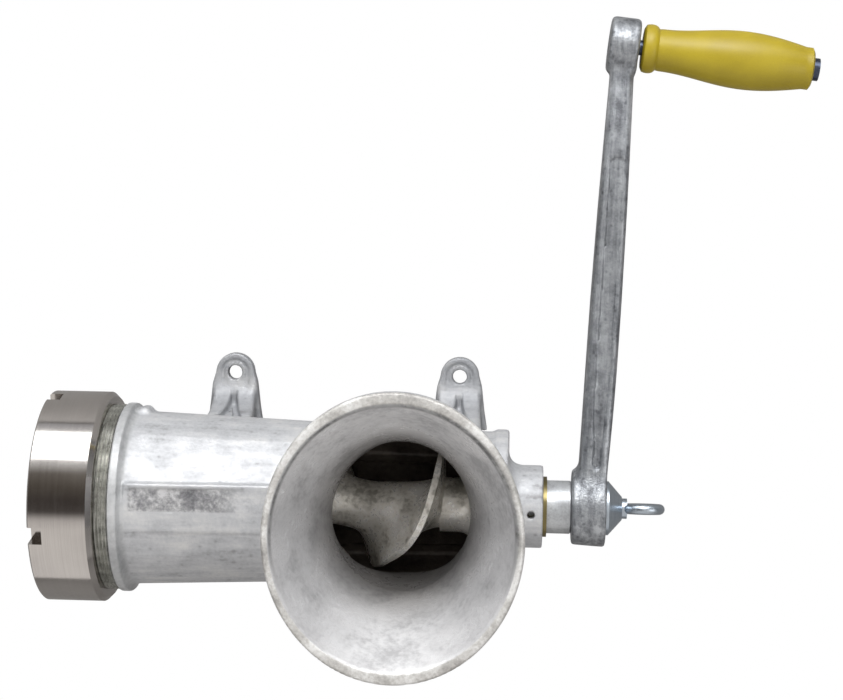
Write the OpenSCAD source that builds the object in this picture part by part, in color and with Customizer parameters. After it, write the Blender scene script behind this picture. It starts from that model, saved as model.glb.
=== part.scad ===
// Manual meat grinder with a bolt-down barrel, a large feed hopper and a long crank.
// X runs along the scroll's axis towards the crank, Y towards the crank arm at rest, Z up.
// The origin is the centre of the four foot bolts, on the face that the feet stand on.

/* [Feet] */
// Distance between the foot bolts along the barrel
foot_pitch_x = 144; // [130:1:156]
// Distance between the foot bolts across the barrel
foot_pitch_y = 124; // [118:1:130]
// Diameter of a foot bolt hole
foot_hole_d = 9; // [7:0.5:11]
// Thickness of a foot pad
pad_t = 8; // [6:0.5:10]
// Radius of a foot pad's round tip
pad_tip_r = 12.3; // [10:0.1:13]

/* [Barrel] */
// Height of the scroll's axis above the feet
axis_h = 125; // [115:1:140]
// Distance from the origin to the barrel's open mouth
mouth_reach = 148.5; // [140:0.5:156]
// Outer radius of the mouth's thread
thread_r = 53.5; // [53:0.1:54]
// Length of the thread, from the mouth to its flange
thread_len = 32.3; // [30:0.1:36]
// Radius of the flange behind the thread
flange_r = 54.4; // [54.2:0.1:58]
// Thickness of that flange
flange_t = 6.2; // [4:0.1:9]
// Outer radius of the barrel behind the flange
barrel_r = 50; // [49.5:0.1:52]
// Outer radius of the barrel at its rear end
barrel_rear_r = 41.6; // [41:0.1:42.5]
// Radius of the lip round the barrel's rear end
rear_lip_r = 43; // [42.6:0.1:46]
// Width of that lip
rear_lip_t = 4.3; // [3:0.1:6]
// Distance from the origin to the barrel's rear face
rear_reach = 103.5; // [101:0.5:106]
// Thickness of the rear wall
rear_wall = 7.5; // [6:0.1:9]
// Radius of the cavity behind the knife
cavity_r = 43.6; // [43:0.1:44]
// Radius of the cavity at the rear wall
cavity_rear_r = 37.2; // [36.8:0.1:37.8]
// Height of the ribs inside the cavity
cavity_rib_h = 1.6; // [1:0.1:1.8]

/* [Neck] */
// Outer radius of the neck that carries the shaft
neck_r = 23.6; // [21:0.1:26]
// Length of the neck behind the barrel's rear face
neck_len = 21.2; // [18:0.1:26]
// Diameter of the oil hole
oil_hole_d = 4.2; // [3:0.1:5]
// Outer radius of the neck's bush
bush_r = 17.25; // [16.8:0.05:18]
// How far the bush stands out of the neck
bush_proud = 2; // [1:0.1:4]

/* [Hopper] */
// Distance from the origin to the hopper's centre
hopper_x = 46; // [42:1:50]
// Height of the rim above the scroll's axis
rim_h = 114; // [100:1:125]
// Inner radius of the rim, along the barrel
rim_r = 64.2; // [58:0.1:68]
// How much wider the hopper is across the barrel than along it
hopper_oval = 1.086; // [1:0.002:1.1]
// Inner radius of the throat, along the barrel
throat_r = 38.5; // [36:0.1:40]
// Height of the throat above the scroll's axis
throat_h = 44; // [42:0.5:50]
// Thickness of the hopper's wall
hopper_wall = 4.4; // [3.5:0.1:6]
// Outer radius of the rim's lip, along the barrel
lip_r = 67.8; // [67.2:0.1:70]
// How much wider the lip is across the barrel than along it
lip_oval = 1.125; // [1.1:0.005:1.14]
// Height of the lip's band
lip_h = 9; // [6:0.5:14]

/* [Ring nut and plate] */
// Outer radius of the ring nut
ring_r = 60.5; // [59:0.1:64]
// Length of the ring nut
ring_len = 35.2; // [32:0.1:38]
// Thickness of the ring nut's front lip
ring_lip_t = 9; // [8.5:0.1:11]
// Radius of the ring nut's opening
ring_open_r = 42; // [41.6:0.1:46]
// Thickness of the hole plate
plate_t = 9; // [7:0.1:11]
// Radius of the hole plate
plate_r = 49.25; // [48.8:0.05:49.5]
// How far the plate stands out of the barrel's mouth
plate_proud = 1.5; // [0.5:0.1:2.5]
// Radius of a hole in the plate
plate_hole_r = 3.75; // [2:0.25:4.2]
// Distance between the plate's rows of holes
plate_row = 9.4; // [9:0.1:9.4]

/* [Knife and scroll] */
// Thickness of the knife's hub
knife_t = 10.5; // [9:0.1:12]
// Radius of the knife's tips
knife_r = 43.2; // [40:0.1:43.6]
// Width across the knife's square hole
knife_sq = 17.2; // [16:0.1:18]
// Outer radius of the scroll at the knife
scroll_r = 41.5; // [40.5:0.1:41.6]
// Outer radius of the scroll at its rear end
scroll_rear_r = 35.1; // [34:0.1:35.2]
// Radius of the scroll's core at the knife
core_r = 24; // [20:0.5:30]
// Radius of the scroll's core at its rear end
core_rear_r = 15.6; // [15.6:0.1:20]
// Pitch of the flight at the knife
pitch_front = 48; // [44:1:60]
// Pitch of the flight where it comes up to the feed from the hopper
pitch_rear = 60; // [50:1:75]
// Radius of the shaft
shaft_r = 15.15; // [14:0.05:15.6]
// How far the round shaft stands out of its bush
shaft_out = 14; // [10:0.1:18]
// Width across the square at the shaft's end
tang_sq = 20; // [18:0.1:21]
// Radius of the pilot that turns in the plate
pilot_r = 8; // [7:0.05:8.4]

/* [Crank] */
// Distance from the scroll's axis to the grip's spindle
crank_r = 262; // [220:1:300]
// How far the arm's end leans outwards
arm_lean = 11.9; // [8:0.1:16]
// Radius of the crank's hub
hub_r = 22.2; // [20:0.1:24]
// Length of the crank's hub
hub_len = 19.6; // [17:0.1:23]
// Radius of the arm's round head
head_r = 15.65; // [14:0.05:17]
// Thickness of the arm's head
head_t = 16.7; // [14:0.1:18]
// Thickness of the arm at the hub
arm_root_t = 17.2; // [14:0.1:19]
// Thickness of the arm at the head
arm_tip_t = 13; // [10:0.1:15]
// Width of the arm at the hub
arm_root_w = 31; // [24:0.5:36]
// Width of the arm at the head
arm_tip_w = 21; // [16:0.5:26]

/* [Grip] */
// Length of the grip
grip_len = 95; // [85:1:110]
// Radius of the grip at its thickest
grip_r = 16.1; // [14:0.1:18]
// Radius of the grip's waist behind its bead
grip_waist_r = 11.7; // [10:0.1:13]
// Radius of the bead at the grip's inner end
grip_bead_r = 13.6; // [13.2:0.1:15]
// Radius of the grip's outer end
grip_end_r = 10.7; // [9:0.1:12]
// Lean of the grip towards the barrel, in degrees
grip_tilt = 6.4; // [0:0.1:8]
// Radius of the grip's bolt
grip_bolt_r = 4.25; // [3.5:0.05:5]
// Radius of the bolt's head
grip_head_r = 6.3; // [5.6:0.1:8]

/* [Clamp screw] */
// Radius of the eye screw's shank
screw_r = 5; // [4:0.1:6]
// Length of the shank inside the shaft
screw_depth = 30; // [20:0.5:34]
// Radius of the eye, to the middle of its bar
eye_r = 9.3; // [8.5:0.1:12]
// Radius of the eye's bar
eye_bar_r = 3; // [2.5:0.1:3.6]
// Turn of the eye about the shaft's axis, in degrees
eye_turn = 8; // [0:1:90]
// Radius of the cone washer's base
cone_r = 15.4; // [13:0.1:18]
// Height of the cone washer
cone_h = 9.3; // [7:0.1:12]

/* [Hidden] */

// Colours
cast_tin = [0.74, 0.75, 0.76];
turned_steel = [0.62, 0.61, 0.60];
dark_steel = [0.36, 0.35, 0.33];
bright_steel = [0.68, 0.69, 0.71];
brass_metal = [0.66, 0.58, 0.34];
zinc_metal = [0.60, 0.65, 0.70];
bolt_metal = [0.24, 0.26, 0.32];
fibre_red = [0.45, 0.27, 0.20];
grip_yellow = [0.83, 0.69, 0.10];

// Fits
run_fit = 0.05;
face_gap = 0.1;
sweep_gap = 0.3;
over = 1;

// Facets of arcs that nothing fits on
arc_fn = 96;
blend_fn = 32;

// Stations along the scroll's axis, from the mouth to the crank
mouth_x = -mouth_reach;
plate_front_x = mouth_x - plate_proud;
plate_rear_x = plate_front_x + plate_t;
ring_front_x = plate_front_x - ring_lip_t;
flange_front_x = mouth_x + thread_len;
flange_rear_x = flange_front_x + flange_t;
knife_front_x = plate_rear_x + face_gap;
scroll_front_x = knife_front_x + knife_t;
rear_wall_x = rear_reach - rear_wall;
washer_t = 2.4;
scroll_rear_x = rear_wall_x - face_gap - washer_t;
neck_end_x = rear_reach + neck_len;
bush_end_x = neck_end_x + bush_proud;
shaft_end_x = bush_end_x + shaft_out;
hub_end_x = shaft_end_x + hub_len;
cone_end_x = hub_end_x + cone_h;

// Barrel details
recess_gap = 0.25;
recess_r = plate_r + recess_gap;
knife_room = 1;
knife_space_r = knife_r + knife_room;
flange_bevel = 1.4;
lip_slope = 7;
neck_root = 4.2;
neck_root_r = neck_r + 2.7;
rib_w = 7;
rib_count = 4;
rib_turn = 55;
panel_w = 27.5;
panel_shift = 2.3;
panel_rise = 0.7;
panel_end_inset = 2;
band_w = 11;
band_depth = 0.8;
band_start = 3;
band_len = 64;
boss_rise = 3.4;
boss_len = 8.5;
boss_w = 16;
oil_hole_back = 7;
oil_hole_turn = 3;

// Leg details
leg_t = 11;
leg_foot_inset = 6.5;
leg_flare = 18.9;
leg_flare_h = 9;
leg_flare_shares = [0, 0.2, 0.42, 0.68, 1, 1.4, 1.9, 2.6, 3.6, 5.5];
leg_top_drop = 20;
leg_foot_w = 26;
leg_top_w = 34;
leg_pocket_depth = 4.5;
leg_pocket_w = 18;
leg_pocket_lift = 3;
leg_pocket_rise = 28;
leg_fin_w = 3.2;
pad_root_w = 36;
pad_root_inset = 30;

// Hopper details
hopper_bands = 6;
hopper_bend = 1.12;
throat_root_r = throat_r - 4.2;

// Ring nut details
ring_thread_r = thread_r + run_fit;
notch_w = 9.8;
notch_depth = 8;
notch_radial = 9;
notch_count = 4;
notch_turn = -13;
ring_bevel = 2.6;
ring_edge = 0.8;

// Plate, key and stud details
key_r = 2.5;
key_gap = 0.1;
key_inset = 2.6;
key_depth = 6;
plate_rows = [2, 3, 4];
holes_per_row = 6;
plate_bore_r = pilot_r + run_fit;
pilot_len = 11;
stud_r = 9;
stud_depth = 20;
square_gap = 0.1;

// Knife details
knife_hub_r = 15;
blade_count = 4;
blade_t = 8.2;
blade_root_w = 15;
blade_back_w = 8;
blade_back_shift = 1.5;
knife_turn = 20;

// Scroll details: a station every few degrees of the flight, and a groove profile in shares
scroll_step = 10;
flight_flank_shares = [0.025, 0.06, 0.105, 0.16, 0.225, 0.31, 0.42, 0.56, 0.75, 1];
flight_flank = 0.05;
flight_land = 2.2;
flight_land_least = 0.012;
flight_land_most = 0.08;
flight_mid_r = 30;
flight_swell = 215;
flight_bend_back = 5.5;
flight_bend_angle = -49;
flight_bend_rise = 12;
flight_bend_fall = 48;
flight_bend_turn = 190;
flight_fade = 60;
core_thin = 4;
core_thin_fade = 120;
cove_backs = [11.5, 8.5, 5.5, 3, 1.2, 0];
cove_rises = [0, 0.4, 1.6, 3.6, 6.4, 9.6];
collar_r = 26;
collar_t = 6;
tang_short = 2;
tap_room = 4;

// Crank details
arm_corner_r = 5.5;
arm_slice = 0.5;
arm_root_shift = 1.8;
arm_root_y = 14;
arm_tip_inset = 10;
hub_taper = 1.2;
seat_room = 0.6;
groove_w_root = 9;
groove_w_tip = 4;
groove_depth = 1.2;
groove_start = 30;
groove_end_inset = 62;
socket_sq = tang_sq + 2 * square_gap;
head_x = hub_end_x - hub_len / 2 + arm_root_shift + arm_lean;

// Grip details
grip_gap = 2;
grip_max_share = 0.6;
grip_waist_share = 0.105;
grip_steps = 9;
bead_share = 0.085;
bead_steps = 6;
grip_head_t = 3.6;
grip_bore_r = grip_bolt_r + run_fit;
grip_start = head_t / 2 + grip_gap;
grip_end = grip_start + grip_len;

// Clamp details
cone_foot_t = 1.6;
cone_tip_r = 6.7;
screw_collar_r = 5.8;
screw_collar_t = 1.4;
eye_x = cone_end_x + screw_collar_t + eye_r + eye_bar_r / 2;

// Moves its children from the foot plane up to the scroll's axis
module on_axis() translate([0, 0, axis_h]) children();

// Turns a profile of [radius, station] points round the scroll's axis
module turned(points) on_axis() rotate([0, 90, 0]) rotate_extrude($fn = arc_fn) polygon(points);

// A round bar along the scroll's axis between two stations
module bar_x(r, x0, x1, r_end = undef) {
    on_axis() translate([x0, 0, 0]) rotate([0, 90, 0])
        cylinder(h = x1 - x0, r1 = r, r2 = is_undef(r_end) ? r : r_end, $fn = arc_fn);
}

// A square bar along the scroll's axis between two stations
module square_x(side, x0, x1) {
    on_axis() translate([x0, -side / 2, -side / 2]) cube([x1 - x0, side, side]);
}

// Puts its children at a station, turned round the axis from straight up towards +Y
module around(x, turn) on_axis() translate([x, 0, 0]) rotate([-turn, 0, 0]) children();

// Extrudes a [y, z] outline along X, centred on a station
module side_slab(points, x, width) {
    translate([x - width / 2, 0, 0]) rotate([90, 0, 90]) linear_extrude(width) polygon(points);
}

// Extrudes an [x, z] outline along Y between two stations
module front_slab(points, y0, y1) {
    translate([0, y1, 0]) rotate([90, 0, 0]) linear_extrude(y1 - y0) polygon(points);
}

// Outer radius of the tapered barrel at a station
function barrel_at(x) =
    barrel_r + (barrel_rear_r - barrel_r) * (x - flange_rear_x) / (rear_reach - flange_rear_x);

// Inner radius of the tapered cavity at a station
function cavity_at(x) =
    cavity_r + (cavity_rear_r - cavity_r) * (x - scroll_front_x) / (rear_wall_x - scroll_front_x);

// Inner radius of the hopper at a share of its height, from the throat to the rim
function hopper_at(share) = throat_r + (rim_r - throat_r) * pow(share, hopper_bend);

// Height above the axis at a share of the hopper's height
function hopper_z(share) = throat_h + (rim_h - throat_h) * share;

hopper_shares = [for (i = [0 : hopper_bands]) i / hopper_bands];

module barrel_outside() {
    turned([
        [0, mouth_x],
        [thread_r, mouth_x],
        [thread_r, flange_front_x],
        [flange_r, flange_front_x],
        [flange_r, flange_rear_x - flange_bevel],
        [barrel_r, flange_rear_x + flange_bevel],
        [barrel_at(rear_reach - rear_lip_t - lip_slope), rear_reach - rear_lip_t - lip_slope],
        [rear_lip_r, rear_reach - rear_lip_t],
        [rear_lip_r, rear_reach],
        [neck_root_r, rear_reach + neck_root / 2],
        [neck_r, rear_reach + neck_root],
        [neck_r, neck_end_x],
        [0, neck_end_x]
    ]);
}

// The whole inside of the barrel as one solid, with grooves between its ribs
module barrel_inside() {
    bar_x(recess_r, mouth_x - over, plate_rear_x);
    bar_x(knife_space_r, plate_rear_x - over, scroll_front_x);
    bar_x(cavity_r - cavity_rib_h, scroll_front_x - over, rear_wall_x, cavity_rear_r - cavity_rib_h);
    difference() {
        bar_x(cavity_r, scroll_front_x - over, rear_wall_x, cavity_rear_r);
        for (i = [1 : rib_count])
            around(scroll_front_x, rib_turn + 360 * i / rib_count)
                translate([0, -rib_w / 2, 0])
                    cube([rear_wall_x - scroll_front_x + over, rib_w, cavity_r + over]);
    }
    bar_x(bush_r, rear_wall_x - over, neck_end_x + over);
}

// A revolved hopper shape, wider across the barrel than along it
module hopper_turned(points, oval) {
    translate([hopper_x, 0, axis_h]) scale([1, oval, 1]) rotate_extrude($fn = arc_fn) polygon(points);
}

module hopper_outside() {
    hopper_turned(concat(
        [[0, 0], [throat_r + hopper_wall, 0]],
        [for (s = hopper_shares) [hopper_at(s) + hopper_wall - (s == 1 ? over : 0), hopper_z(s)]],
        [[0, rim_h]]
    ), hopper_oval);
    hopper_turned([
        [throat_r, rim_h - lip_h],
        [lip_r - over, rim_h - lip_h],
        [lip_r, rim_h - lip_h + over],
        [lip_r, rim_h - over],
        [lip_r - over, rim_h],
        [throat_r, rim_h]
    ], lip_oval);
}

module hopper_inside() {
    hopper_turned(concat(
        [[0, 0], [throat_root_r, 0]],
        [for (s = hopper_shares) [hopper_at(s), hopper_z(s)]],
        [[rim_r, rim_h + over], [0, rim_h + over]]
    ), hopper_oval);
}

// The flat-topped panel along the top of the barrel, with its shallow bare band
module barrel_panel() {
    start = flange_rear_x + panel_end_inset;
    difference() {
        on_axis() translate([0, panel_shift, 0]) front_slab([
            [start, 0],
            [start, barrel_at(start) + panel_rise],
            [hopper_x, barrel_at(hopper_x) + panel_rise],
            [hopper_x, 0]
        ], -panel_w / 2, panel_w / 2);
        on_axis() translate([0, panel_shift, 0]) front_slab([
            [start + band_start, barrel_at(start) + panel_rise - band_depth],
            [start + band_start, barrel_r + panel_rise + over],
            [start + band_start + band_len, barrel_r + panel_rise + over],
            [start + band_start + band_len, barrel_at(start + band_len) + panel_rise - band_depth]
        ], -band_w / 2 + panel_shift, band_w / 2 + panel_shift);
    }
}

// The small lug beside the flange, on the crank arm's side
module side_boss() {
    on_axis() translate([flange_rear_x - over, 0, -boss_w / 2])
        cube([boss_len + over, barrel_r + boss_rise, boss_w]);
}

// How far a leg's outer face stands out beyond its upright part, at a height
function leg_flare_at(h) = leg_flare * exp(-(h - pad_t) / leg_flare_h);

leg_heights = concat([for (s = leg_flare_shares) pad_t + leg_flare_h * s], axis_h - leg_top_drop);

// Outline across the barrel between two depths behind the leg's outer face
function leg_outline(foot_y, from, to) = concat(
    [for (h = leg_heights) [foot_y - leg_flare + leg_flare_at(h) - from, h]],
    [for (i = [len(leg_heights) - 1 : -1 : 0])
        [foot_y - leg_flare + leg_flare_at(leg_heights[i]) - to, leg_heights[i]]]
);

// One foot pad and the leg above it, for the foot at +X and +Y. The leg is upright and flares out to the pad
module leg() {
    x = foot_pitch_x / 2;
    y = foot_pitch_y / 2;
    foot_y = y - leg_foot_inset;
    top_z = axis_h - leg_top_drop;
    pocket_z = pad_t + leg_pocket_lift;
    translate([x, y, 0]) cylinder(h = pad_t, r = pad_tip_r, $fn = arc_fn);
    linear_extrude(pad_t) polygon([
        [x - pad_tip_r, y],
        [x + pad_tip_r, y],
        [x + pad_root_w / 2, y - pad_root_inset],
        [x - pad_root_w / 2, y - pad_root_inset]
    ]);
    difference() {
        intersection() {
            side_slab(leg_outline(foot_y, 0, leg_t), x, leg_top_w);
            front_slab([
                [x - leg_foot_w / 2, 0],
                [x + leg_foot_w / 2, 0],
                [x + leg_top_w / 2, top_z],
                [x - leg_top_w / 2, top_z]
            ], 0, y);
        }
        intersection() {
            side_slab(leg_outline(foot_y, -over, leg_pocket_depth), x, leg_top_w);
            for (s = [-1, 1]) front_slab([
                [x + s * leg_fin_w / 2, pocket_z],
                [x + s * leg_pocket_w / 2, pocket_z + leg_pocket_rise],
                [x + s * leg_pocket_w / 2, top_z],
                [x + s * leg_fin_w / 2, top_z]
            ], 0, y);
        }
    }
}

module at_each_foot() {
    for (sx = [0, 1], sy = [0, 1]) mirror([sx, 0, 0]) mirror([0, sy, 0]) children();
}

module housing() color(cast_tin) {
    difference() {
        union() {
            barrel_outside();
            hopper_outside();
            barrel_panel();
            side_boss();
            at_each_foot() leg();
        }
        barrel_inside();
        hopper_inside();
        key_bar(0);
        around(neck_end_x - oil_hole_back, -oil_hole_turn)
            cylinder(h = neck_r + over, d = oil_hole_d, $fn = arc_fn);
        at_each_foot() translate([foot_pitch_x / 2, foot_pitch_y / 2, -over])
            cylinder(h = pad_t + 2 * over, d = foot_hole_d, $fn = arc_fn);
    }
}

// The plain sleeve pressed into the neck
module neck_bush() color(brass_metal) difference() {
    bar_x(bush_r, rear_wall_x, bush_end_x);
    bar_x(shaft_r + run_fit, rear_wall_x - over, bush_end_x + over);
    around(neck_end_x - oil_hole_back, -oil_hole_turn)
        cylinder(h = neck_r, d = oil_hole_d, $fn = arc_fn);
}

// The key's round bar, with room round it when it cuts its notch
module key_bar(gap) {
    around(mouth_x, 180) translate([0, 0, recess_r - key_inset]) rotate([0, 90, 0])
        cylinder(h = plate_rear_x - mouth_x + key_depth, r = key_r + gap, $fn = arc_fn);
}

module plate_key() color(bright_steel) key_bar(0);

module hole_plate() color(turned_steel) difference() {
    bar_x(plate_r, plate_front_x, plate_rear_x);
    bar_x(plate_bore_r, plate_front_x - over, plate_rear_x + over);
    for (row = plate_rows, i = [1 : holes_per_row * row])
        around(plate_front_x - over, 360 * i / (holes_per_row * row))
            translate([0, 0, plate_row * row]) rotate([0, 90, 0])
                cylinder(h = plate_t + 2 * over, r = plate_hole_r, $fn = blend_fn);
    around(plate_front_x - over, 180) {
        translate([0, 0, recess_r - key_inset]) rotate([0, 90, 0])
            cylinder(h = plate_t + 2 * over, r = key_r + key_gap, $fn = arc_fn);
        translate([0, -key_r - key_gap, recess_r - key_inset])
            cube([plate_t + 2 * over, 2 * (key_r + key_gap), key_inset]);
    }
}

module ring_nut() color(turned_steel) difference() {
    turned([
        [ring_open_r, ring_front_x],
        [ring_r - ring_edge, ring_front_x],
        [ring_r, ring_front_x + ring_edge],
        [ring_r, ring_front_x + ring_len - ring_bevel],
        [ring_r - ring_bevel, ring_front_x + ring_len],
        [ring_thread_r, ring_front_x + ring_len],
        [ring_thread_r, plate_front_x],
        [ring_open_r, plate_front_x]
    ]);
    for (i = [1 : notch_count])
        around(ring_front_x, notch_turn + 360 * i / notch_count)
            translate([-over, -notch_w / 2, ring_r - notch_radial])
                cube([notch_depth + over, notch_w, notch_radial + over]);
}

// The flight as rings of points that turn with it, so that its crest is a smooth helix. Its pitch grows along the
// barrel. At the feed it swells and falls away again, so the flight ends square to the shaft
bend_x = hopper_x - flight_bend_back;
swell_len = (flight_swell - pitch_rear) * flight_bend_rise / 360;
main_turn = 720 * (bend_x - swell_len - scroll_front_x) / (pitch_front + pitch_rear);
flight_sweep = main_turn + flight_bend_turn;
flight_len = scroll_rear_x - collar_t - scroll_front_x;
flight_rings = ceil(flight_sweep / scroll_step);
half_count = len(flight_flank_shares) + 1;
ring_points = 2 * half_count;

// The station that the flight has reached after a turn, and its pitch there
function flight_x(turn) = turn < main_turn
    ? scroll_front_x + turn / 360 * (pitch_front + (pitch_rear - pitch_front) * turn / main_turn / 2)
        + swell_len * exp((turn - main_turn) / flight_bend_rise)
    : bend_x + flight_swell * flight_bend_fall / 360 * (1 - exp(-(turn - main_turn) / flight_bend_fall));

function flight_pitch(turn) = turn < main_turn
    ? pitch_front + (pitch_rear - pitch_front) * turn / main_turn
        + (flight_swell - pitch_rear) * exp((turn - main_turn) / flight_bend_rise)
    : flight_swell * exp(-(turn - main_turn) / flight_bend_fall);

// Half of the crest's flat land, as a share of a turn
function flight_land_share(pitch) =
    let (round_len = 2 * PI * flight_mid_r)
    max(flight_land_least, min(flight_land_most,
        flight_land * sqrt(pitch * pitch + round_len * round_len) / (pitch * round_len)));

// Share of a turn between the crest and a point of a ring
function ring_share(land, k) =
    k == 0 ? 0 : k == 1 ? land : land + (0.5 - land) * flight_flank_shares[k - 2];

function flight_point(turn, i) =
    let (
        x = flight_x(turn),
        side = i < half_count ? 1 : -1,
        land = flight_land_share(flight_pitch(turn)),
        off = ring_share(land, i < half_count ? i : ring_points - i),
        share = (x - scroll_front_x) / flight_len,
        fade = min(1, (flight_sweep - turn) / flight_fade),
        thin = core_thin * min(1, (flight_sweep - turn) / core_thin_fade) * (1 - cos(360 * off)) / 2,
        core = core_rear_r + (core_r - core_rear_r) * (1 - share) * (1 - share) - thin,
        crest = scroll_r + (scroll_rear_r - scroll_r) * share,
        r = core + (crest - core) * fade * exp(-max(0, off - land) / flight_flank),
        angle = turn - main_turn + flight_bend_angle + 360 * side * off
    )
    [x, r * sin(angle), r * cos(angle)];

module flight() {
    points = [for (k = [0 : flight_rings], i = [0 : ring_points - 1])
        flight_point(flight_sweep * k / flight_rings, i)];
    sides = [for (k = [0 : flight_rings - 1], i = [0 : ring_points - 1])
        let (n = (i + 1) % ring_points, a = k * ring_points, b = a + ring_points)
        each [[a + i, a + n, b + i], [a + n, b + n, b + i]]];
    front = [[for (i = [ring_points - 1 : -1 : 0]) i]];
    rear = [[for (i = [0 : ring_points - 1]) flight_rings * ring_points + i]];
    on_axis() polyhedron(points, concat(sides, front, rear));
}

module scroll() color(dark_steel) difference() {
    union() {
        flight();
        bar_x(core_rear_r, flight_x(flight_sweep) - over, scroll_rear_x - over);
        for (i = [1 : len(cove_backs) - 1]) bar_x(
            core_rear_r + cove_rises[i - 1],
            scroll_rear_x - collar_t - cove_backs[i - 1],
            scroll_rear_x - collar_t - cove_backs[i],
            core_rear_r + cove_rises[i]
        );
        bar_x(collar_r, scroll_rear_x - collar_t, scroll_rear_x);
        bar_x(shaft_r, scroll_rear_x - over, shaft_end_x);
        square_x(tang_sq, shaft_end_x - over, hub_end_x - tang_short);
    }
    bar_x(stud_r, scroll_front_x - over, scroll_front_x + stud_depth);
    bar_x(screw_r + run_fit, hub_end_x - screw_depth - tap_room, hub_end_x);
}

// The stud in the scroll's nose: a threaded root, a square for the knife and a round pilot
module scroll_stud() color(bright_steel) {
    bar_x(stud_r, scroll_front_x, scroll_front_x + stud_depth);
    square_x(knife_sq - 2 * square_gap, knife_front_x + face_gap, scroll_front_x);
    bar_x(pilot_r, knife_front_x - pilot_len, knife_front_x + face_gap);
}

module knife() color(bright_steel) difference() {
    union() {
        bar_x(knife_hub_r, knife_front_x, scroll_front_x);
        intersection() {
            bar_x(knife_r, knife_front_x, scroll_front_x);
            for (i = [1 : blade_count])
                around(knife_front_x, knife_turn + 360 * i / blade_count)
                    rotate([0, 0, 90]) linear_extrude(knife_r + over) polygon([
                        [-blade_root_w / 2, 0],
                        [blade_root_w / 2, 0],
                        [blade_back_w / 2 + blade_back_shift, -blade_t],
                        [-blade_back_w / 2 + blade_back_shift, -blade_t]
                    ]);
        }
    }
    square_x(knife_sq, knife_front_x - over, scroll_front_x + over);
}

module thrust_washer() color(fibre_red) difference() {
    bar_x(collar_r, scroll_rear_x, scroll_rear_x + washer_t);
    bar_x(shaft_r + run_fit, scroll_rear_x - over, scroll_rear_x + washer_t + over);
}

// One rounded cross-section of the arm, as four short bars along Y
module arm_slice_at(x, y, thick, wide) {
    for (sx = [-1, 1], sz = [-1, 1])
        translate([x + sx * (thick / 2 - arm_corner_r), y, axis_h + sz * (wide / 2 - arm_corner_r)])
            rotate([-90, 0, 0]) cylinder(h = arm_slice, r = arm_corner_r, $fn = blend_fn);
}

// Middle of the arm at a distance from the scroll's axis
function arm_x(y) = hub_end_x - hub_len / 2 + arm_root_shift + arm_lean * y / crank_r;

module arm_groove() {
    end_y = crank_r - groove_end_inset;
    rise_root = arm_root_w / 2;
    rise_tip = arm_tip_w / 2 + (arm_root_w - arm_tip_w) / 2 * groove_end_inset / crank_r;
    for (side = [0, 1]) translate([0, 0, axis_h]) mirror([0, 0, side])
        intersection() {
            linear_extrude(arm_root_w) polygon([
                [arm_x(groove_start) - groove_w_root / 2, groove_start],
                [arm_x(groove_start) + groove_w_root / 2, groove_start],
                [arm_x(end_y) + groove_w_tip / 2, end_y],
                [arm_x(end_y) - groove_w_tip / 2, end_y]
            ]);
            side_slab([
                [0, rise_root - groove_depth],
                [crank_r, rise_tip - groove_depth - (rise_root - rise_tip) * groove_end_inset / end_y],
                [crank_r, arm_root_w],
                [0, arm_root_w]
            ], hub_end_x, 2 * hub_len + 2 * arm_lean);
        }
}

// Puts its children at the arm's head, with X along the grip's spindle
module at_head() translate([head_x, crank_r, axis_h]) rotate([0, 0, -grip_tilt]) children();

// A round bar along the spindle between two stations
module bar_s(r, s0, s1) {
    at_head() translate([s0, 0, 0]) rotate([0, 90, 0]) cylinder(h = s1 - s0, r = r, $fn = arc_fn);
}

module crank() color(cast_tin) difference() {
    union() {
        bar_x(hub_r - hub_taper, shaft_end_x, hub_end_x, hub_r);
        bar_s(head_r, -head_t / 2, head_t / 2);
        hull() {
            arm_slice_at(arm_x(arm_root_y), arm_root_y, arm_root_t, arm_root_w);
            arm_slice_at(arm_x(crank_r - arm_tip_inset), crank_r - arm_tip_inset, arm_tip_t, arm_tip_w);
        }
    }
    arm_groove();
    bar_x(cone_r + seat_room, hub_end_x, hub_end_x + arm_root_t);
    square_x(socket_sq, shaft_end_x - over, hub_end_x + over);
    bar_s(grip_bolt_r, -head_t, head_t);
}

module cone_washer() color(zinc_metal) difference() {
    turned([
        [0, hub_end_x],
        [cone_r, hub_end_x],
        [cone_r, hub_end_x + cone_foot_t],
        [cone_tip_r, cone_end_x],
        [0, cone_end_x]
    ]);
    bar_x(screw_r + run_fit, hub_end_x - over, cone_end_x + over);
}

module eye_screw() color(zinc_metal) {
    bar_x(screw_r, hub_end_x - screw_depth, cone_end_x);
    difference() {
        bar_x(screw_collar_r, cone_end_x, eye_x - eye_r);
        eye_ring();
    }
    eye_ring();
}

module eye_ring() {
    around(eye_x, eye_turn) rotate([90, 0, 0])
        rotate_extrude($fn = arc_fn) translate([eye_r, 0]) circle(r = eye_bar_r, $fn = blend_fn);
}

// The bolt that the grip turns on, riveted through the arm's head
module grip_bolt() color(bolt_metal) {
    bar_s(grip_bolt_r, -head_t / 2, grip_end + face_gap);
    bar_s(grip_head_r, grip_end + face_gap, grip_end + face_gap + grip_head_t);
}

// Radius of the grip at a share of its length, from the waist to the outer end
function grip_at(share) = share < grip_max_share
    ? grip_waist_r + (grip_r - grip_waist_r)
        * (1 - cos(180 * (share - grip_waist_share) / (grip_max_share - grip_waist_share))) / 2
    : grip_end_r + (grip_r - grip_end_r) * cos(90 * (share - grip_max_share) / (1 - grip_max_share));

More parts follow.
